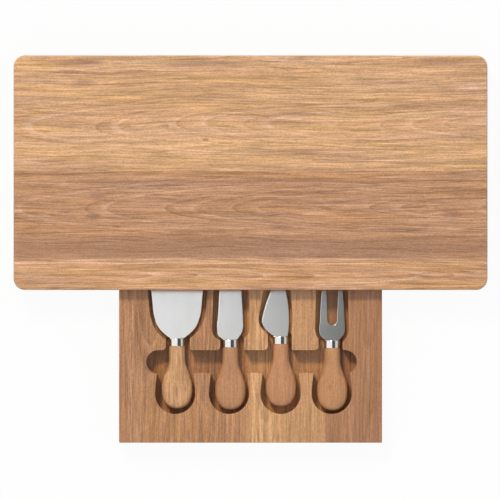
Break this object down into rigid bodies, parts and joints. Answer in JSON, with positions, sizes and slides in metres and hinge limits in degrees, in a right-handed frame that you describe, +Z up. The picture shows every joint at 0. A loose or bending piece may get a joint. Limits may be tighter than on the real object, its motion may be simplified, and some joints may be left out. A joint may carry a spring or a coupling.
{
  "type": "cheese board with tool drawer",
  "caption": "Glued wooden serving slab over a routed pull-out drawer that holds small steel cheese tools with teardrop wooden handles.",
  "frame": {"origin": "on the surface that the feet stand on, under the middle of the board's outline with its drawer open at the stop", "axes": "+Z up out of the serving surface; +X to the right along the board's long side; -Y is the side that the drawer opens to"},
  "size_m": [0.4, 0.327, 0.0376],
  "materials": {
    "top_stave_front": "oiled, fine grain",
    "top_stave_middle": "oiled, fine grain",
    "top_stave_back": "oiled, fine grain",
    "base_block_left": "oiled, fine grain",
    "base_block_right": "oiled, fine grain",
    "base_rail_back": "oiled, fine grain",
    "runner_left": "oiled, fine grain",
    "runner_right": "oiled, fine grain",
    "drawer_stave_left": "oiled, fine grain",
    "drawer_stave_middle": "oiled, fine grain",
    "drawer_stave_right": "oiled, fine grain",
    "stop_dowel_left": "oiled, fine grain",
    "stop_dowel_right": "oiled, fine grain",
    "plane_knife_handle": "oiled, fine grain",
    "spreader_handle": "oiled, fine grain",
    "pointed_knife_handle": "oiled, fine grain",
    "fork_handle": "oiled, fine grain",
    "foot_front_left": "matt",
    "foot_screw_front_left": "plain zinc sheen",
    "foot_front_right": "matt",
    "foot_screw_front_right": "plain zinc sheen",
    "foot_back_left": "matt",
    "foot_screw_back_left": "plain zinc sheen",
    "foot_back_right": "matt",
    "foot_screw_back_right": "plain zinc sheen",
    "plane_knife_blade": "polished with faint lengthwise brushing",
    "plane_knife_ferrule": "polished",
    "spreader_blade": "polished with faint lengthwise brushing",
    "spreader_ferrule": "polished",
    "pointed_knife_blade": "polished with faint lengthwise brushing",
    "pointed_knife_ferrule": "polished",
    "fork_blade": "polished with faint lengthwise brushing",
    "fork_ferrule": "polished"
  },
  "bodies": {
    "board": {"top_stave_front": "top_stave_front", "top_stave_middle": "top_stave_middle", "top_stave_back": "top_stave_back", "base_block_left": "base_block_left", "base_block_right": "base_block_right", "base_rail_back": "base_rail_back", "runner_left": "runner_left", "runner_right": "runner_right", "foot_front_left": "foot_front_left", "foot_screw_front_left": "foot_screw_front_left", "foot_front_right": "foot_front_right", "foot_screw_front_right": "foot_screw_front_right", "foot_back_left": "foot_back_left", "foot_screw_back_left": "foot_screw_back_left", "foot_back_right": "foot_back_right", "foot_screw_back_right": "foot_screw_back_right"},
    "drawer": {"drawer_stave_left": "drawer_stave_left", "drawer_stave_middle": "drawer_stave_middle", "drawer_stave_right": "drawer_stave_right", "stop_dowel_left": "stop_dowel_left", "stop_dowel_right": "stop_dowel_right"},
    "plane_knife": {"plane_knife_blade": "plane_knife_blade", "plane_knife_ferrule": "plane_knife_ferrule", "plane_knife_handle": "plane_knife_handle"},
    "spreader": {"spreader_blade": "spreader_blade", "spreader_ferrule": "spreader_ferrule", "spreader_handle": "spreader_handle"},
    "pointed_knife": {"pointed_knife_blade": "pointed_knife_blade", "pointed_knife_ferrule": "pointed_knife_ferrule", "pointed_knife_handle": "pointed_knife_handle"},
    "fork": {"fork_blade": "fork_blade", "fork_ferrule": "fork_ferrule", "fork_handle": "fork_handle"}
  },
  "joints": [
    {"name": "drawer_slide", "type": "slide", "parent": "board", "child": "drawer", "axis": [0, -1, 0], "range_m": [-0.1289, 0]},
    {"name": "plane_knife_lift", "type": "hinge", "parent": "drawer", "child": "plane_knife", "pos_m": [-0.062, -0.01325, 0.0121], "axis": [-1, 0, 0], "range_deg": [0, 24]},
    {"name": "spreader_lift", "type": "hinge", "parent": "drawer", "child": "spreader", "pos_m": [-0.017, -0.00835, 0.0121], "axis": [-1, 0, 0], "range_deg": [0, 20]},
    {"name": "pointed_knife_lift", "type": "hinge", "parent": "drawer", "child": "pointed_knife", "pos_m": [0.0256, -0.00855, 0.0121], "axis": [-1, 0, 0], "range_deg": [0, 20]},
    {"name": "fork_lift", "type": "hinge", "parent": "drawer", "child": "fork", "pos_m": [0.069, -0.01095, 0.0121], "axis": [-1, 0, 0], "range_deg": [0, 22]}
  ]
}
